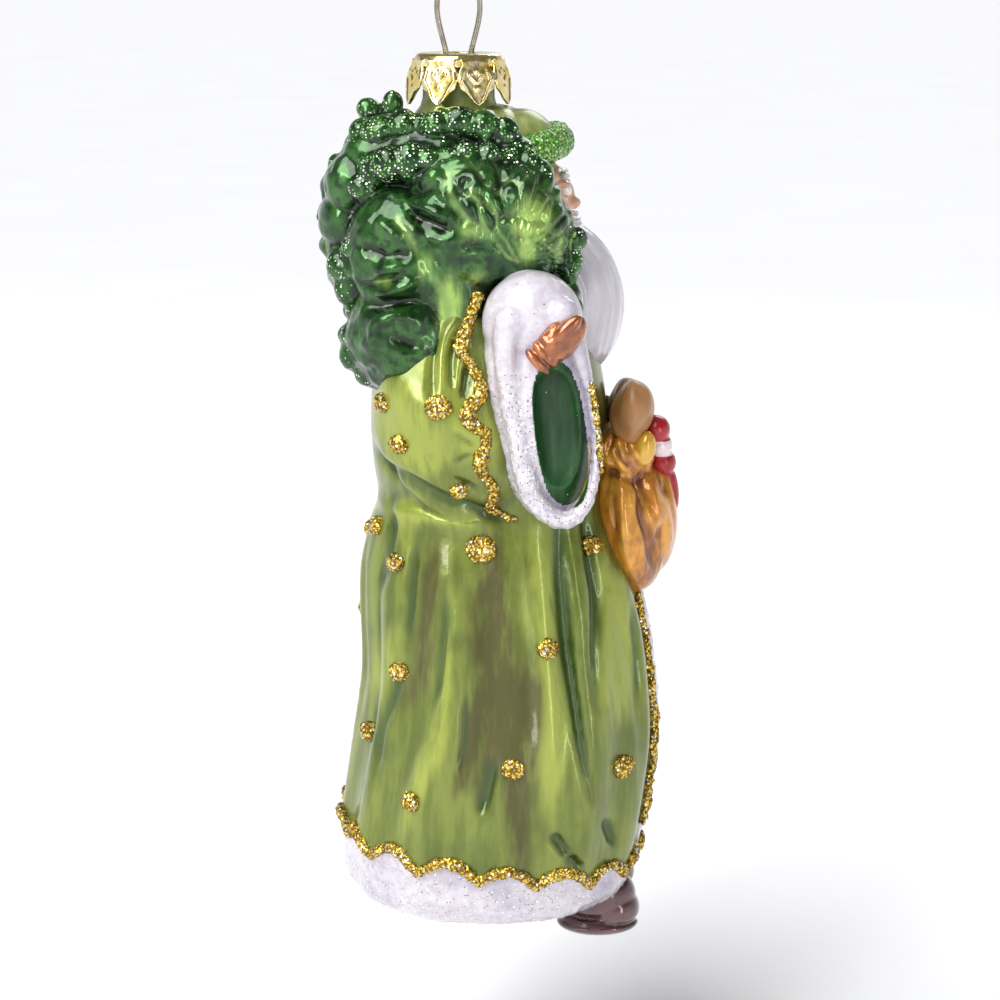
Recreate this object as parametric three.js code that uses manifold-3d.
// A hanging glass Christmas ornament: a mouth-blown, hollow Santa figure with a bunch of kale over its right shoulder
// and a sack of vegetables in its left hand. A stamped metal cap closes its neck, and a spring-wire hanger holds the
// cap. Millimetres, +Z up. The origin is where a tree hook bears, inside the top of the wire loop. The figure looks along
// +X, so its right side faces -Y.
import * as THREE from "three";
import { mergeVertices } from "three/addons/utils/BufferGeometryUtils.js";
import Module from "manifold-3d";

const wasm = await Module();
wasm.setup();

// Driving dimensions

// Hanger: a hairpin of spring wire
const WIRE_DIAMETER = 0.8;
const LOOP_RISE = 11; // hook point down to the cap's top face
const LOOP_HALF_WIDTH = 3.1; // centre line to wire centre, where the loop is widest
const LOOP_WIDEST_DROP = 4.6; // hook point down to there
const STRAND_SPREAD_AT_CAP = 1.8; // centre line to wire centre, where the strands pass the cap
const STRAND_SPREAD_AT_WAIST = 0.8; // the same, where the strands come closest below the cap
const WAIST_DROP = 4.5; // cap's top face down to there
const LEG_CLEARANCE = 0.3; // between the legs and the neck's bore
const LEG_BEARING_DROP = 10; // cap's top face down to where the legs bear on the bore
const LEG_LENGTH = 16; // cap's top face down to the legs' ends

// Cap: one stamping of thin sheet
const CAP_SHEET = 0.4;
const CAP_RADIUS = 6.4;
const CAP_EDGE_RADIUS = 0.9; // the bend between its top and its petals
const CAP_HOLE_CLEARANCE = 0.4; // round the two strands of the hanger
const PETALS = 8;
const PETAL_LENGTH = 6.6;
const PETAL_FLARE = 1.5; // how far a petal's tip stands out past the cap's edge
const PETAL_GAP = 0.5; // between the petals at the cap's edge

// Glass
const RIM_GAP = 0.3; // cap's underside to the glass rim
const GLASS_WALL = 1.1;
const NECK_RADIUS = 5.2;
const BORE_RADIUS = 4.2;
const NECK_FOOT_DROP = 7.5; // rim down to where the neck spreads into the hat
const FIGURE_HEIGHT = 128.3; // underside of the coat to the rim
const COAT_ROUNDING = 8; // height of the coat's rounded underside
const PLEATS = 13;
const PLEAT_DEPTH = 0.7;

// Glitter, laid on as beads and dots of glue
const GLITTER_GAP = 0.3; // between the glue and the glass
const BEAD_WIDTH = 2.1;
const BEAD_HEIGHT = 0.9;
const DOT_HEIGHT = 0.9;
const SCALLOP_RISE = 2.4;
const HEM_SCALLOPS = 17;
const CUFF_SCALLOPS = 5;

const CAP_TOP = -LOOP_RISE;
const RIM = CAP_TOP - CAP_SHEET - RIM_GAP;
const COAT_UNDERSIDE = RIM - FIGURE_HEIGHT;

// Colours and finishes
const finish = (color, roughness, metalness) => new THREE.MeshStandardMaterial({ color, roughness, metalness });
const LACQUERED_GLASS = finish(0x9db04a, 0.18, 0.3);
const GOLD_PLATE = finish(0xd6b24a, 0.25, 1);
const STEEL_WIRE = finish(0x8a8478, 0.3, 1);
const GOLD_GLITTER = finish(0xc99a1e, 0.45, 0.8);

// Solids

function solidOf(geometry) {
  const bare = geometry.clone();
  for (const name of ["normal", "uv"]) bare.deleteAttribute(name);
  const merged = mergeVertices(bare, 1e-4);
  const mesh = new wasm.Mesh({
    numProp: 3,
    vertProperties: new Float32Array(merged.attributes.position.array),
    triVerts: new Uint32Array(merged.index.array),
  });
  return new wasm.Manifold(mesh);
}

function geometryOf(solid) {
  const mesh = solid.getMesh();
  const geometry = new THREE.BufferGeometry();
  geometry.setAttribute("position", new THREE.BufferAttribute(mesh.vertProperties, 3));
  geometry.setIndex(new THREE.BufferAttribute(mesh.triVerts, 1));
  geometry.computeVertexNormals();
  return geometry;
}

const joined = (solids) => solids.reduce((whole, solid) => whole.add(solid));

// The largest body of a solid, without any pockets shut inside it
const largestOf = (solid) =>
  solid.decompose().reduce((largest, body) => (body.volume() > largest.volume() ? body : largest));

// A closed body skinned over rings of points, its first and last rings closed by a fan
function lofted(rings) {
  const columns = rings[0].length;
  const points = rings.flat();
  const triangles = [];
  for (let r = 0; r + 1 < rings.length; r++) {
    for (let c = 0; c < columns; c++) {
      const a = r * columns + c;
      const b = r * columns + ((c + 1) % columns);
      triangles.push(a, b, b + columns, a, b + columns, a + columns);
    }
  }
  const middleOf = (ring) => ring.reduce((sum, p) => sum.add(p), new THREE.Vector3()).divideScalar(columns);
  const start = points.push(middleOf(rings[0])) - 1;
  const end = points.push(middleOf(rings.at(-1))) - 1;
  const last = (rings.length - 1) * columns;
  for (let c = 0; c < columns; c++) {
    const next = (c + 1) % columns;
    triangles.push(start, next, c, end, last + c, last + next);
  }
  const geometry = new THREE.BufferGeometry().setFromPoints(points);
  geometry.setIndex(triangles);
  return geometry;
}

// A value on a smooth curve through [at, value] stations
function faired(stations, at) {
  const last = stations.length - 1;
  if (at <= stations[0][0]) return stations[0][1];
  if (at >= stations[last][0]) return stations[last][1];
  const i = stations.findIndex(([a]) => a > at) - 1;
  const slope = (k) => {
    const [before, after] = [stations[Math.max(k - 1, 0)], stations[Math.min(k + 1, last)]];
    return (after[1] - before[1]) / (after[0] - before[0]);
  };
  const span = stations[i + 1][0] - stations[i][0];
  const t = (at - stations[i][0]) / span;
  const [t2, t3] = [t * t, t * t * t];
  return (
    (2 * t3 - 3 * t2 + 1) * stations[i][1] +
    (t3 - 2 * t2 + t) * span * slope(i) +
    (3 * t2 - 2 * t3) * stations[i + 1][1] +
    (t3 - t2) * span * slope(i + 1)
  );
}

// A swelling: an ellipsoid, leaned in the side view and then turned about the vertical, with lobes raised on it. The
// lobes are a height for each direction from its middle.
function swelling({ centre, radii, lean = 0, yaw = 0, lobes = () => 0, columns = 12, rows = 8 }, grow = 0) {
  const geometry = new THREE.SphereGeometry(1, columns, rows).rotateX(Math.PI / 2);
  const position = geometry.attributes.position;
  const direction = new THREE.Vector3();
  const [rx, ry, rz] = radii;
  for (let i = 0; i < position.count; i++) {
    direction.fromBufferAttribute(position, i);
    const atPole = Math.abs(direction.z) > 0.9999;
    const raise = grow + (atPole ? 0 : lobes(direction));
    position.setXYZ(i, direction.x * (rx + raise), direction.y * (ry + raise), direction.z * (rz + raise));
  }
  return solidOf(geometry.rotateY(lean).rotateZ(yaw).translate(...centre));
}

// The glass figure's forms, in its own frame: x forward, y to its left, z up from the coat's underside

// Back, front and half width of the coat at heights
const COAT_BACK = [
  [8, -17.6], [15, -17.8], [19, -17.2], [28, -15.9], [38, -14.6], [53, -14.8], [60, -13.5], [64, -12.1], [68, -12.7],
  [75, -13.2], [85, -12.5], [95, -10], [104, -6],
];
const COAT_FRONT = [
  [8, 26.6], [15, 28], [28, 29.6], [38, 29], [47, 27.6], [55, 25.3], [64, 22], [75, 22], [85, 20.5], [95, 15.5],
  [104, 11],
];
const COAT_HALF_WIDTH = [
  [8, 22.6], [15, 24], [28, 23.4], [38, 22], [47, 20.6], [55, 19], [64, 17], [70, 18], [80, 18.6], [88, 17.8],
  [95, 15], [104, 9],
];
const PLEAT_FADE = [[8, 0.35], [16, 1], [48, 0.9], [62, 0.1], [64, 0]];
const COAT_HEIGHTS = [0.3, 1.4, 3.6, 8, 13, 19, 26, 33, 40, 47, 54, 59, 64, 69, 76, 84, 91, 98, 104];
const COAT_SQUARENESS = 2.3;
const COAT_FOOT_SQUARENESS = 2.4;
const PLEAT_PHASE = 0.5;

function coatRing(height, columns, grow) {
  const front = faired(COAT_FRONT, height);
  const back = faired(COAT_BACK, height);
  const halfLength = (front - back) / 2 + grow;
  const halfWidth = faired(COAT_HALF_WIDTH, height) + grow;
  const below = Math.max(COAT_ROUNDING - height, 0) / COAT_ROUNDING;
  const tuck = (1 - below ** COAT_FOOT_SQUARENESS) ** (1 / COAT_FOOT_SQUARENESS);
  return Array.from({ length: columns }, (_, i) => {
    const around = (2 * Math.PI * i) / columns;
    const [cos, sin] = [Math.cos(around), Math.sin(around)];
    const share = (Math.abs(cos) / halfLength) ** COAT_SQUARENESS + (Math.abs(sin) / halfWidth) ** COAT_SQUARENESS;
    const pleat = PLEAT_DEPTH * faired(PLEAT_FADE, height) * Math.cos(PLEATS * around + PLEAT_PHASE);
    const r = (share ** (-1 / COAT_SQUARENESS) + pleat) * tuck;
    return new THREE.Vector3((front + back) / 2 + r * cos, r * sin, height);
  });
}

function coat(grow, columns, heights) {
  const rings = heights.map((height) => coatRing(height, columns, grow));
  for (const point of rings[0]) point.z -= grow;
  for (const point of rings.at(-1)) point.z += grow;
  return solidOf(lofted(rings));
}

// Reliefs: heights of what is raised on a form, for a direction from its middle
const turn = (d) => Math.atan2(d.y, d.x);
const locks = (d) => (0.55 * Math.cos(7 * turn(d) + 2 * d.z) + 0.25 * Math.cos(12 * turn(d))) * Math.hypot(d.x, d.y);
const creases = (d) => (0.45 * Math.cos(5 * turn(d) + 2 * d.z) - 0.3 * Math.cos(9 * turn(d))) * Math.hypot(d.x, d.y);
const folds = (d) => 0.5 * Math.cos(4 * turn(d) + 5 * d.z) * Math.hypot(d.x, d.y);
const tufts = (d) => 0.3 * Math.cos(8 * turn(d) + 7 * d.z) * Math.hypot(d.x, d.y);
const squared = (d) => 3.4 * ((d.x ** 4 + d.y ** 4 + d.z ** 4) ** -0.25 - 1);

// The head, hat, beard and kale hang from the neck: their heights count down from the rim.
const hung = (form) => ({ ...form, centre: [form.centre[0], form.centre[1], FIGURE_HEIGHT + form.centre[2]] });

const HEAD = hung({ centre: [4, 0, -20.3], radii: [11.2, 10.5, 11], columns: 12, rows: 8 });
const FACE = hung({ centre: [10.2, 0, -20.7], radii: [6.6, 7, 7.6], columns: 14 });
const NOSE = hung({ centre: [16.8, 0, -20.5], radii: [1.2, 1.1, 1.3], columns: 8, rows: 6 });
const HAT = hung({ centre: [4.2, 0, -12.9], radii: [9.6, 9.6, 6.4], lean: 0.12, columns: 16 });
const HAT_FRONT = hung({ centre: [9.8, -1, -10.7], radii: [4.4, 5.6, 3.3], lean: 0.4, columns: 10, rows: 6 });
const BRIM = hung({ centre: [4.6, 0, -12.9], radii: [12, 11.6, 2.5], lean: -0.08, columns: 20, rows: 7 });
const BEARD = hung({
  centre: [14.4, 0, -35.1], radii: [9.8, 10.2, 12.2], lean: -0.2, lobes: locks, columns: 22, rows: 8,
});
const LEFT_HAIR = hung({ centre: [2.5, 7.4, -25.3], radii: [7.6, 5, 9], lobes: locks });
// The figure's own neck, under the beard, joins the head's glass and hollow to the coat's.
const THROAT_FOOT = 94;
const THROAT = {
  centre: [4, 0, (THROAT_FOOT + HEAD.centre[2]) / 2],
  radii: [7.3, 7.3, (HEAD.centre[2] - THROAT_FOOT) / 2],
};
const SHOULDERS = { centre: [-0.5, 0, 88], radii: [12, 19.4, 12.5] };

const RIGHT_ARM = { centre: [-0.4, -13, 77.6], radii: [11.4, 9.4, 15.4], lean: -0.3, lobes: folds, columns: 16 };
const RIGHT_CUFF = { centre: [11.4, -17, 81.6], radii: [7.6, 7.2, 18.4], lean: -0.12, columns: 16, rows: 12 };
const RIGHT_CUFF_TOP = { centre: [10.6, -18, 92.2], radii: [7.2, 6.4, 7.4], columns: 14, rows: 8 };
const RIGHT_LINING = { centre: [14.3, -26.2, 77], radii: [3.6, 5.6, 10.8], lean: -0.1, lobes: squared };
const RIGHT_PALM = { centre: [14.6, -23.2, 90.4], radii: [4, 2.8, 3], lean: -0.7, columns: 10, rows: 6 };
const LEFT_ARM = { centre: [0, 13, 79], radii: [12.4, 9.6, 17.6], lean: -0.4, lobes: folds, columns: 16 };
const LEFT_CUFF = { centre: [13.6, 14, 71], radii: [8.4, 7.6, 14.6], lean: -0.5, lobes: tufts, columns: 18, rows: 11 };
const LEFT_PALM = { centre: [22, 10.6, 72.6], radii: [4.4, 4.2, 4.2], columns: 12, rows: 8 };

// Fingers curl round what each hand holds: the first finger's place, the step to the next, and each one's radii.
const FINGERS = 4;
const RIGHT_FINGERS = { first: [12.4, -24.7, 86.9], step: [0.6, 0.1, 1.1], radii: [2.8, 1.3, 0.9], lean: -0.5 };
const LEFT_FINGERS = { first: [25.4, 10.2, 69.8], step: [-0.2, 0.2, 1.9], radii: [1.6, 3, 1.1], lean: 0 };

const SACK = { centre: [25, -3, 60.2], radii: [5.8, 8, 10.8], lean: -0.15, lobes: creases, columns: 14, rows: 8 };
const SACK_FRONT = { centre: [28.6, 0.4, 61], radii: [4.1, 8.4, 9.4], lean: -0.05, lobes: creases, columns: 14 };
const SACK_NECK = { centre: [24.2, -0.6, 70.6], radii: [5.6, 8.6, 4.6], lobes: creases, columns: 14, rows: 6 };
const POTATOES = [
  { centre: [25.4, -5, 77], radii: [3.1, 4.3, 4.8], lean: 0.2, columns: 10, rows: 8 },
  { centre: [25.6, 3.2, 76.4], radii: [3.4, 4.6, 4.4], columns: 10, rows: 8 },
];
const RADISHES = [
  { centre: [29, -3.2, 74.2], radii: [2.2, 2.5, 2.2], columns: 8, rows: 6 },
  { centre: [30, -2.4, 69.6], radii: [1.9, 2.3, 2.6], columns: 8, rows: 6 },
  { centre: [31.2, -1.6, 64.6], radii: [1.6, 1.8, 4.2], lean: -0.1, columns: 8, rows: 6 },
  { centre: [29.2, 3.2, 72.4], radii: [2.4, 2.6, 2.5], columns: 8, rows: 6 },
];
const PEPPER = { centre: [27.2, -6.6, 71.8], radii: [1.7, 1.9, 2.8], lean: 0.2, columns: 8, rows: 6 };

const RIGHT_BOOT = { centre: [20.8, -8, 2.2], radii: [6.5, 4.5, 4.8], columns: 14, rows: 8 };
const LEFT_BOOT = { ...RIGHT_BOOT, centre: [20.8, 8, 2.2] };

// The bunch of kale: broad smooth leaves, and the rolls that their edges curl into. A leaf's radii are half its
// width, half its thickness and half its length. A furrow runs along the midrib of each leaf that faces the back.
const midrib = (d) => -0.8 * Math.exp(-((d.x / 0.18) ** 2)) * Math.abs(d.y);
const leaf = (centre, radii, lean = 0, yaw = 0) => hung({ centre, radii, lean, yaw, columns: 10, rows: 7 });
const KALE = [
  leaf([8.2, -12.8, -22.9], [7.8, 7, 9.4], -0.25, 0.25),
  leaf([1.6, -13.6, -22.3], [9.2, 7.2, 10.2], -0.15, 0.05),
  leaf([-7.4, -12, -27.3], [8.8, 7.8, 10], -0.3, -0.3),
  leaf([-7.8, -12.4, -38.5], [8.2, 8, 8.8], -0.1, -0.2),
  leaf([-0.8, -13.2, -32.3], [5.6, 5.4, 9.6], -0.15),
  { ...leaf([-13, -3.4, -23.3], [7.4, 7, 12.4], -0.06, -1.2), lobes: midrib },
  { ...leaf([-9.4, 3.6, -27.3], [9, 7, 13.8], -0.1, -1.9), lobes: midrib },
  leaf([-1.6, -6, -15.3], [11.4, 8.6, 7.2], 0.05, 0.3),
  leaf([-9, -4, -14.9], [7.6, 9, 7.4], -0.4, -0.8),
  leaf([-14.8, -7, -17.5], [4.6, 5, 4.8]),
  leaf([-16.2, -5.6, -22.7], [4.1, 5, 4.8]),
  leaf([-14.4, -7.4, -29.9], [4.4, 4.8, 4.8]),
  leaf([-9, -11, -43.3], [5.4, 5.4, 4.2]),
];

// The rolled edges: the radius of each roll, and places along it, with heights that count down from the rim too
const ROLLS = [
  [1.7, [[-12.6, -4, -7.7], [-11, -4.4, -6.7], [-9.9, -4.6, -7.1]]],
  [2.4, [[-13.4, -7.6, -10.7], [-10.8, -9.2, -9.5], [-7.4, -9.8, -9.1], [-3.4, -9.8, -9.3], [1, -9.4, -9.9]]],
  [2.4, [[-13.6, -10.4, -17.7], [-12, -11.6, -15.5], [-9.4, -13.2, -14.1], [-6.4, -14.2, -13.7]]],
  [2.2, [[-4.6, -14.4, -13.9], [0, -14, -13.3], [3.6, -13.6, -13.1], [7.2, -13, -13.7], [10, -12, -14.9]]],
  [2.1, [[11.6, -11.8, -16.3], [12.2, -11.8, -19.1], [14.4, -11.6, -21.9], [16, -11.6, -24.9], [15.4, -12, -28.5]]],
  [2.5, [[-12.6, -13, -23.9], [-14.6, -12, -25.9], [-16, -10.4, -28.7], [-15.6, -10.6, -31.9]]],
  [2.4, [[-14.2, -11.8, -35.5], [-14.9, -11.6, -38.7], [-14.4, -11.6, -41.9], [-12.6, -12, -44.5]]],
  [2.7, [[-16.4, -1, -16.3], [-17, -1, -21.3], [-16.8, -1, -26.3], [-16.2, -1, -31.3], [-14.6, -1, -36.3]]],
  [2.7, [[-13, 6, -16.3], [-13.4, 7.2, -21.3], [-13, 8, -26.3], [-12.4, 8, -31.3], [-11.2, 7, -36.3]]],
  [2.5, [[-10, 2.4, -11.3], [-6, 3.6, -10.9], [-2, 3.4, -10.9]]],
].map(([radius, route]) => [radius, route.map(([x, y, drop]) => [x, y, FIGURE_HEIGHT + drop])]);
// The roll of fur that edges the right cuff's mouth
const FUR_ROLL = [
  2,
  [
    [6.8, -22.2, 89.7], [7.4, -22.2, 83.4], [8.7, -22.2, 76.3], [9.9, -22.2, 70], [12.6, -22.2, 65.6],
    [16.4, -22, 65.6], [18.6, -22, 70], [19, -22, 76], [18, -22, 84], [16.6, -22.2, 89.6],
  ],
];
const ROLL_COLUMNS = 6;
const ROLL_STEP = 3.4;
const ROLL_END_SIZE = 0.55; // radius of a roll's last ring, as a share of the roll's own
const ROLL_END_REACH = 0.75; // how far that ring stands out past the last place, as the same share

// A roll with rounded ends along a smooth line through its places
function roll([radius, places], grow = 0) {
  const line = new THREE.CatmullRomCurve3(places.map((place) => new THREE.Vector3(...place)), false, "centripetal");
  const steps = Math.max(3, Math.round(line.getLength() / ROLL_STEP));
  const frames = line.computeFrenetFrames(steps, false);
  const reach = radius + grow;
  const ring = (i, size, shift) =>
    Array.from({ length: ROLL_COLUMNS }, (_, c) => {
      const angle = (2 * Math.PI * c) / ROLL_COLUMNS;
      const out = frames.normals[i].clone().multiplyScalar(Math.cos(angle));
      out.addScaledVector(frames.binormals[i], Math.sin(angle));
      return line.getPointAt(i / steps).addScaledVector(out, size).addScaledVector(frames.tangents[i], shift);
    });
  const middle = Array.from({ length: steps + 1 }, (_, i) => ring(i, reach, 0));
  const [endSize, endShift] = [ROLL_END_SIZE * reach, ROLL_END_REACH * reach];
  return solidOf(lofted([ring(0, endSize, -endShift), ...middle, ring(steps, endSize, endShift)]));
}

function fingers({ first, step, radii, lean }, grow) {
  return Array.from({ length: FINGERS }, (_, i) =>
    swelling({ centre: first.map((v, axis) => v + i * step[axis]), radii, lean, columns: 6, rows: 5 }, grow),
  );
}

// The neck: a tube that spreads into the crown of the hat
const NECK_SPREAD = 2.6;
const NECK_ROOT = HEAD.centre[2];

function neck(grow) {
  const radius = NECK_RADIUS + grow;
  const foot = FIGURE_HEIGHT - NECK_FOOT_DROP;
  const outline = [
    [0, NECK_ROOT], [radius + NECK_SPREAD, NECK_ROOT], [radius + NECK_SPREAD, foot - 1.6],
    [radius + 0.6, foot + 0.2], [radius, foot + 1.6], [radius, FIGURE_HEIGHT], [0, FIGURE_HEIGHT],
  ];
  return solidOf(new THREE.LatheGeometry(outline.map(([r, h]) => new THREE.Vector2(r, h)), 32).rotateX(Math.PI / 2));
}

// Room for the cap's petals round the neck
const CAP_CLEARANCE = 0.5;

function capRoom() {
  const radius = CAP_RADIUS + PETAL_FLARE + CAP_CLEARANCE;
  const foot = CAP_TOP - CAP_EDGE_RADIUS - PETAL_LENGTH - CAP_CLEARANCE - COAT_UNDERSIDE;
  const top = FIGURE_HEIGHT + 1;
  const outline = [[0, foot], [radius, foot], [radius + 1.5, top], [0, top]];
  return solidOf(new THREE.LatheGeometry(outline.map(([r, h]) => new THREE.Vector2(r, h)), 24).rotateX(Math.PI / 2));
}

const SWELLINGS = [
  HEAD, FACE, NOSE, HAT, HAT_FRONT, BRIM, BEARD, LEFT_HAIR, THROAT, SHOULDERS, RIGHT_ARM, LEFT_ARM, RIGHT_CUFF,
  RIGHT_CUFF_TOP, LEFT_CUFF, RIGHT_PALM, LEFT_PALM, SACK, SACK_FRONT, SACK_NECK, ...POTATOES, ...RADISHES, PEPPER,
  RIGHT_BOOT, LEFT_BOOT, ...KALE,
];

// The outside of the figure, or the same a little bigger all over
const COAT_COLUMNS = 39;
function outside(grow = 0) {
  const solids = [
    coat(grow, COAT_COLUMNS, COAT_HEIGHTS), ...SWELLINGS.map((form) => swelling(form, grow)),
    ...fingers(RIGHT_FINGERS, grow), ...fingers(LEFT_FINGERS, grow),
    ...[...ROLLS, FUR_ROLL].map((form) => roll(form, grow)),
  ];
  return largestOf(joined(solids).subtract(capRoom()).add(neck(grow))).subtract(swelling(RIGHT_LINING, -grow));
}

// The hollow that the breath leaves: the main forms, a wall smaller, opening through the bore of the neck
const HOLLOW_FORMS = [HEAD, THROAT, SHOULDERS, RIGHT_ARM, LEFT_ARM, KALE[2], KALE[3], KALE[7], SACK];
const HOLLOW_COLUMNS = 14;
const HOLLOW_HEIGHTS = COAT_HEIGHTS.filter((_, i) => i % 2 === 0);

function bore() {
  const legFoot = CAP_TOP - LEG_LENGTH - LEG_CLEARANCE - COAT_UNDERSIDE;
  const [from, to] = [Math.min(NECK_ROOT, legFoot), FIGURE_HEIGHT + 1];
  const outline = [[0, from], [BORE_RADIUS, from], [BORE_RADIUS, to], [0, to]];
  return solidOf(new THREE.LatheGeometry(outline.map(([r, h]) => new THREE.Vector2(r, h)), 28).rotateX(Math.PI / 2));
}

function hollow() {
  const wall = GLASS_WALL + PLEAT_DEPTH;
  const rounded = HOLLOW_FORMS.map((form) => swelling({ ...form, lobes: undefined, columns: 10, rows: 6 }, -wall));
  return largestOf(joined([coat(-wall, HOLLOW_COLUMNS, HOLLOW_HEIGHTS), ...rounded, bore()]));
}

const glassForm = outside();
const glassGrown = outside(GLITTER_GAP);
const glassSkin = new THREE.Mesh(geometryOf(glassForm));

// Where a line from far outside first meets the glass, and which way the glass faces there
const FAR = 80;
function touch(from, heading) {
  const ray = new THREE.Raycaster(from, heading.normalize());
  const hit = ray.intersectObject(glassSkin)[0];
  return { point: hit.point, facing: hit.face.normal };
}

// Glue keeps clear of the glass by its gap.
const laidOnGlass = (solid) => largestOf(solid.subtract(glassGrown));

const BEAD_COLUMNS = 4;
const GLUE_MIDDLE = 0.3; // from the gap over the glass up to the middle of a bead or dot, as a share of its height
const GLUE_CREST = 0.7; // from there up to its crest

// A bead of glue along the places where lines meet the glass; a closed one comes back to its start.
function bead(places, closed) {
  const count = places.length;
  const at = (i) => places[closed ? (i + count) % count : THREE.MathUtils.clamp(i, 0, count - 1)];
  const rings = places.map((_, i) => {
    const along = at(i + 1).point.clone().sub(at(i - 1).point).normalize();
    const facing = [-1, 0, 1].reduce((sum, step) => sum.add(at(i + step).facing), new THREE.Vector3());
    const across = new THREE.Vector3().crossVectors(facing, along).normalize();
    const up = new THREE.Vector3().crossVectors(along, across);
    const centre = at(i).point.clone().addScaledVector(up, GLITTER_GAP + GLUE_MIDDLE * BEAD_HEIGHT);
    return Array.from({ length: BEAD_COLUMNS }, (_, c) => {
      const angle = (2 * Math.PI * c) / BEAD_COLUMNS;
      const point = centre.clone().addScaledVector(across, (BEAD_WIDTH / 2) * Math.cos(angle));
      return point.addScaledVector(up, GLUE_CREST * BEAD_HEIGHT * Math.sin(angle));
    });
  });
  return laidOnGlass(solidOf(closed ? hoop(rings) : lofted(rings)));
}

// A closed body skinned over rings of points that come back to the first ring
function hoop(rings) {
  const columns = rings[0].length;
  const geometry = new THREE.BufferGeometry().setFromPoints(rings.flat());
  const triangles = [];
  for (let r = 0; r < rings.length; r++) {
    const after = (r + 1) % rings.length;
    for (let c = 0; c < columns; c++) {
      const next = (c + 1) % columns;
      const [a, b] = [r * columns + c, r * columns + next];
      const [d, e] = [after * columns + c, after * columns + next];
      triangles.push(a, b, e, a, e, d);
    }
  }
  geometry.setIndex(triangles);
  return geometry;
}

// The glue line above the hem: it dips from the back to the front, in scallops.
const HEM_LINE_HEIGHT = 12;
const HEM_LINE_DIP = 2.8;
const HEM_LINE_STEPS = 4 * HEM_SCALLOPS;
const COAT_MIDDLE = 5;

const scallop = (turns) => SCALLOP_RISE * (Math.abs(Math.cos(Math.PI * turns)) - 0.6);

function hemLine() {
  return Array.from({ length: HEM_LINE_STEPS }, (_, i) => {
    const share = i / HEM_LINE_STEPS;
    const outward = new THREE.Vector3(Math.cos(2 * Math.PI * share), Math.sin(2 * Math.PI * share), 0);
    const height = HEM_LINE_HEIGHT - HEM_LINE_DIP * outward.x + scallop(HEM_SCALLOPS * share);
    const from = new THREE.Vector3(COAT_MIDDLE, 0, height).addScaledVector(outward, FAR);
    return touch(from, outward.negate());
  });
}

// The glue line along a cuff's back edge, on the side that is given as -1 for the right and 1 for the left
const CUFF_LINE_MARGIN = 0.9;
const CUFF_LINE_FROM = 1.05;
const CUFF_LINE_TO = -1.25;
const CUFF_LINE_STEPS = 4 * CUFF_SCALLOPS + 2;

function cuffLine({ centre, radii, lean }, side) {
  return Array.from({ length: CUFF_LINE_STEPS + 1 }, (_, i) => {
    const share = i / CUFF_LINE_STEPS;
    const angle = THREE.MathUtils.lerp(CUFF_LINE_FROM, CUFF_LINE_TO, share);
    const reach = CUFF_LINE_MARGIN + 0.7 * scallop(CUFF_SCALLOPS * share + 0.5);
    const place = new THREE.Vector3(-(radii[0] + reach) * Math.cos(angle), 0, (radii[2] + reach) * Math.sin(angle));
    place.applyAxisAngle(new THREE.Vector3(0, 1, 0), lean).add(new THREE.Vector3(...centre)).setY(side * FAR);
    return touch(place, new THREE.Vector3(0, -side, 0));
  });
}

// The glue lines down the coat's front edges, from under the sack to just above the hem's line
const FRONT_EDGE = 4.8;
const FRONT_LINE_TOP = 47;
const FRONT_LINE_FOOT = HEM_LINE_HEIGHT - HEM_LINE_DIP + SCALLOP_RISE + BEAD_WIDTH;
const FRONT_LINE_STEPS = 12;
const FRONT_LINE_WAVES = 5;

function frontLine(side) {
  return Array.from({ length: FRONT_LINE_STEPS + 1 }, (_, i) => {
    const share = i / FRONT_LINE_STEPS;
    const height = THREE.MathUtils.lerp(FRONT_LINE_TOP, FRONT_LINE_FOOT, share);
    const across = side * (FRONT_EDGE + 0.3 * scallop(FRONT_LINE_WAVES * share));
    return touch(new THREE.Vector3(FAR, across, height), new THREE.Vector3(-1, 0, 0));
  });
}

// Dots of glue: how far forward, how high, and their radius, on the side or on the back of the coat
const RIGHT_DOTS = [
  [-10.7, 80.5, 1.5], [-2.7, 80.8, 1.9], [-8.3, 74.8, 1.5], [0.2, 68.3, 1.3], [3.3, 59.3, 2.2], [-9.1, 56.5, 1.5],
  [19.3, 58.5, 1.6], [12.9, 45.2, 1.6], [-8.6, 40.6, 1.6], [7.9, 28.2, 1.6], [24.1, 26.2, 1.9], [-7, 22.4, 1.6],
];
const LEFT_DOTS = [
  [-3.4, 84.6, 1.8], [-6.6, 71.6, 1.5], [0.6, 74.6, 1.4], [15.2, 50.6, 1.7], [-6.8, 56.4, 1.9], [5, 44.4, 1.6],
  [19.4, 34.2, 1.7], [-7.4, 38.4, 1.5], [8.2, 26.4, 1.9], [-2.6, 21.2, 1.5],
];
const BACK_DOTS = [
  [-7.4, 60.4, 1.6], [6.6, 57.2, 1.5], [0.6, 46, 1.8], [-9.6, 29.6, 1.6], [8.8, 30.8, 1.7],
];
const DOT_COLUMNS = 6;
const DOT_ROWS = 4;

function dot({ point, facing }, radius) {
  const lens = new THREE.SphereGeometry(1, DOT_COLUMNS, DOT_ROWS).scale(radius, GLUE_CREST * DOT_HEIGHT, radius);
  const upright = new THREE.Quaternion().setFromUnitVectors(new THREE.Vector3(0, 1, 0), facing);
  const centre = point.clone().addScaledVector(facing, GLITTER_GAP + GLUE_MIDDLE * DOT_HEIGHT);
  return laidOnGlass(solidOf(lens.applyQuaternion(upright).translate(...centre)));
}

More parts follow.
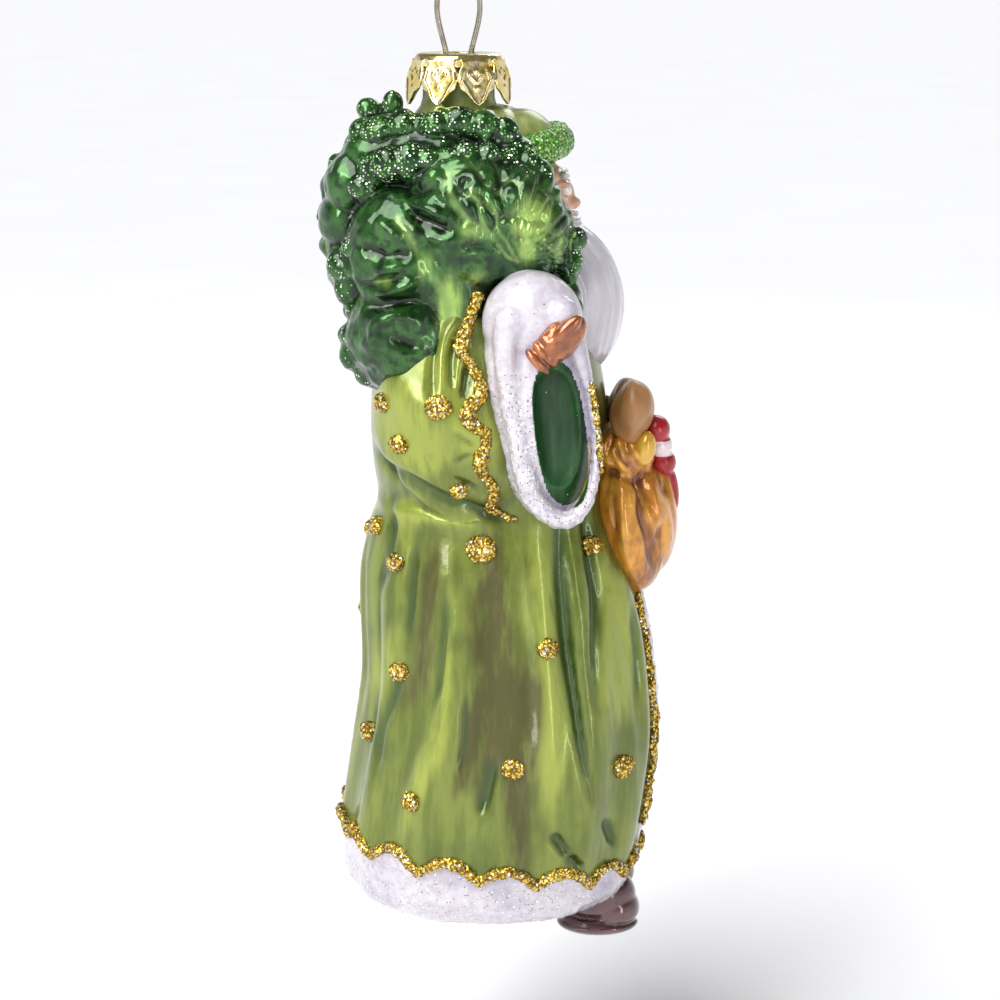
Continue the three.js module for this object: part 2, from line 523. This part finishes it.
const sideDots = (dots, side) =>
  dots.map(([forward, height, radius]) =>
    dot(touch(new THREE.Vector3(forward, side * FAR, height), new THREE.Vector3(0, -side, 0)), radius),
  );
const backDots = BACK_DOTS.map(([left, height, radius]) =>
  dot(touch(new THREE.Vector3(-FAR, left, height), new THREE.Vector3(1, 0, 0)), radius),
);

// The hanger: one length of wire, from one leg's end over the loop to the other's
const WIRE_RADIUS = WIRE_DIAMETER / 2;
const WIRE_HALF_SIDES = 4;
const WIRE_STEPS = 48;

function hanger() {
  const legSpread = BORE_RADIUS - LEG_CLEARANCE - WIRE_RADIUS;
  const half = [
    [legSpread, CAP_TOP - LEG_LENGTH],
    [legSpread, CAP_TOP - LEG_BEARING_DROP],
    [STRAND_SPREAD_AT_WAIST, CAP_TOP - WAIST_DROP],
    [STRAND_SPREAD_AT_CAP, CAP_TOP],
    [LOOP_HALF_WIDTH, -LOOP_WIDEST_DROP],
    [LOOP_HALF_WIDTH * 0.72, WIRE_RADIUS - 0.22 * LOOP_WIDEST_DROP],
  ];
  const points = [
    ...half.map(([x, z]) => new THREE.Vector3(x, 0, z)),
    new THREE.Vector3(0, 0, WIRE_RADIUS),
    ...half.reverse().map(([x, z]) => new THREE.Vector3(-x, 0, z)),
  ];
  const section = new THREE.Shape().absarc(0, 0, WIRE_RADIUS, 0, 2 * Math.PI);
  const extrudePath = new THREE.CatmullRomCurve3(points);
  return new THREE.ExtrudeGeometry(section, { steps: WIRE_STEPS, curveSegments: WIRE_HALF_SIDES, extrudePath });
}

// The cap: a disc turned down round the rim, cut below into petals that flare, with a hole for the hanger's strands
const PETAL_ROOT = 1.5; // cap's top face down to the foot of the gaps between petals
const PETAL_WAIST = 0.86; // how much narrower a petal is at its root than at its widest

function capDisc() {
  const bend = new THREE.Shape();
  const hole = STRAND_SPREAD_AT_CAP + WIRE_RADIUS + CAP_HOLE_CLEARANCE;
  bend.moveTo(hole, 0);
  bend.lineTo(CAP_RADIUS - CAP_EDGE_RADIUS, 0);
  bend.absarc(CAP_RADIUS - CAP_EDGE_RADIUS, -CAP_EDGE_RADIUS, CAP_EDGE_RADIUS, Math.PI / 2, 0, true);
  bend.lineTo(CAP_RADIUS, -PETAL_ROOT - 0.4);
  bend.lineTo(CAP_RADIUS - CAP_SHEET, -PETAL_ROOT - 0.4);
  bend.lineTo(CAP_RADIUS - CAP_SHEET, -CAP_EDGE_RADIUS);
  bend.absarc(CAP_RADIUS - CAP_EDGE_RADIUS, -CAP_EDGE_RADIUS, CAP_EDGE_RADIUS - CAP_SHEET, 0, Math.PI / 2, false);
  bend.lineTo(hole, -CAP_SHEET);
  bend.closePath();
  const profile = bend.getPoints(2).reverse();
  return solidOf(new THREE.LatheGeometry(profile, 3 * PETALS).rotateX(Math.PI / 2));
}

function petal() {
  const root = Math.tan(Math.PI / PETALS) * CAP_RADIUS - PETAL_GAP / 2;
  const widest = Math.tan(Math.PI / PETALS) * (CAP_RADIUS + 0.6 * PETAL_FLARE) - PETAL_GAP / 2;
  const length = PETAL_LENGTH;
  const outline = new THREE.Shape();
  outline.moveTo(-PETAL_WAIST * root, 0);
  outline.lineTo(PETAL_WAIST * root, 0);
  outline.lineTo(PETAL_WAIST * root, -0.12 * length);
  outline.quadraticCurveTo(widest, -0.2 * length, widest, -0.45 * length);
  outline.quadraticCurveTo(widest, -0.68 * length, 0.62 * widest, -0.72 * length);
  outline.quadraticCurveTo(0.5 * widest, -0.88 * length, 0, -length);
  outline.quadraticCurveTo(-0.5 * widest, -0.88 * length, -0.62 * widest, -0.72 * length);
  outline.quadraticCurveTo(-widest, -0.68 * length, -widest, -0.45 * length);
  outline.quadraticCurveTo(-widest, -0.2 * length, -PETAL_WAIST * root, -0.12 * length);
  const plate = new THREE.ExtrudeGeometry(outline, { depth: CAP_SHEET, bevelEnabled: false, curveSegments: 2 });
  const flare = Math.asin(PETAL_FLARE / PETAL_LENGTH);
  return plate.rotateX(-flare).translate(0, -CAP_EDGE_RADIUS, CAP_RADIUS - CAP_SHEET);
}

function cap() {
  const petals = Array.from({ length: PETALS }, (_, i) => {
    const turned = petal().rotateX(Math.PI / 2).rotateZ(((i + 0.5) / PETALS) * 2 * Math.PI + Math.PI / 2);
    return solidOf(turned);
  });
  return joined([capDisc(), ...petals]);
}

// The assembly

function part(name, geometry, material) {
  const mesh = new THREE.Mesh(geometry, material);
  mesh.name = name;
  return mesh;
}

const figure = new THREE.Group();
figure.position.z = COAT_UNDERSIDE;
figure.add(part("glass_figure", geometryOf(glassForm.subtract(hollow())), LACQUERED_GLASS));
figure.add(part("hem_glitter_bead", geometryOf(bead(hemLine(), true)), GOLD_GLITTER));
for (const [name, side, cuff] of [["right", -1, RIGHT_CUFF], ["left", 1, LEFT_CUFF]]) {
  figure.add(part(`${name}_cuff_glitter_bead`, geometryOf(bead(cuffLine(cuff, side), false)), GOLD_GLITTER));
  figure.add(part(`${name}_front_glitter_bead`, geometryOf(bead(frontLine(side), false)), GOLD_GLITTER));
}
for (const [name, dots] of [["right", sideDots(RIGHT_DOTS, -1)], ["left", sideDots(LEFT_DOTS, 1)], ["back", backDots]]) {
  dots.forEach((solid, i) => figure.add(part(`${name}_glitter_dot_${i + 1}`, geometryOf(solid), GOLD_GLITTER)));
}

const crown = part("cap", geometryOf(cap()), GOLD_PLATE);
crown.position.z = CAP_TOP;

const ornament = new THREE.Group();
ornament.add(figure, crown, part("hanger_wire", hanger(), STEEL_WIRE));
export default ornament;
